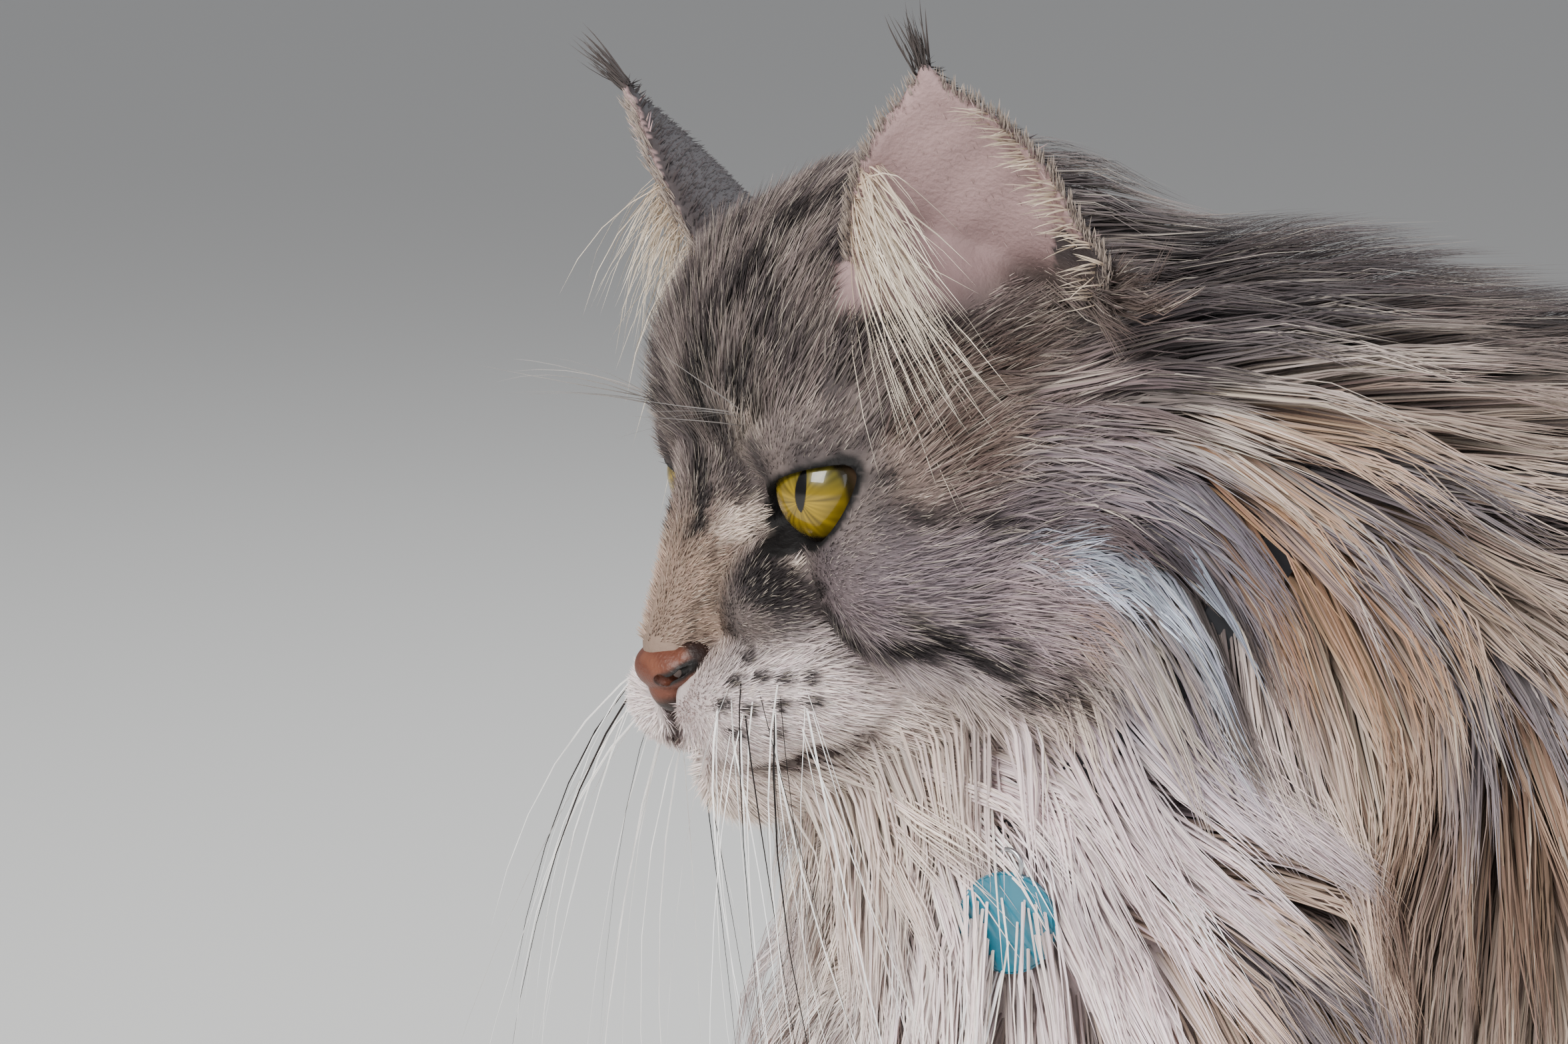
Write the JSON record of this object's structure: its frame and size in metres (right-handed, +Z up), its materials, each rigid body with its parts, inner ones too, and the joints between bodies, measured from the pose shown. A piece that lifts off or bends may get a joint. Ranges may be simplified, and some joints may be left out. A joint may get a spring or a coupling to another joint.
{
  "type": "long-haired cat model",
  "caption": "Life-size long-haired cat, standing with its head lowered and turned a little, with tufted ears, full ruff, plumed tail, collar and tag.",
  "frame": {"origin": "on the floor, under the middle of the cat's outline", "axes": "+Z up, the cat stands along Y and faces -Y, its left side is +X"},
  "size_m": [0.2338, 0.9456, 0.4188],
  "materials": {
    "smoke_fur": "matt fur",
    "cream_fur": "matt fur",
    "silver_fur": "matt fur",
    "nose_leather": "moist",
    "amber_eye": "polished",
    "dark_strap": "woven",
    "teal_enamel": "glossy"
  },
  "bodies": {
    "root": {"head": "smoke_fur", "jaw": "cream_fur", "nose": "nose_leather", "eye_left": "amber_eye", "eye_right": "amber_eye", "ear_left": "smoke_fur", "ear_right": "smoke_fur", "whisker_pad_left": "cream_fur", "whisker_pad_right": "cream_fur", "neck": "silver_fur", "torso": "silver_fur", "foreleg_left": "silver_fur", "foreleg_right": "silver_fur", "hindleg_left": "silver_fur", "hindleg_right": "silver_fur", "forepaw_left": "cream_fur", "forepaw_right": "cream_fur", "hindpaw_left": "cream_fur", "hindpaw_right": "cream_fur", "tail_root": "smoke_fur", "tail_middle": "smoke_fur", "tail_end": "smoke_fur", "collar": "dark_strap", "collar_tag": "teal_enamel"}
  },
  "joints": []
}
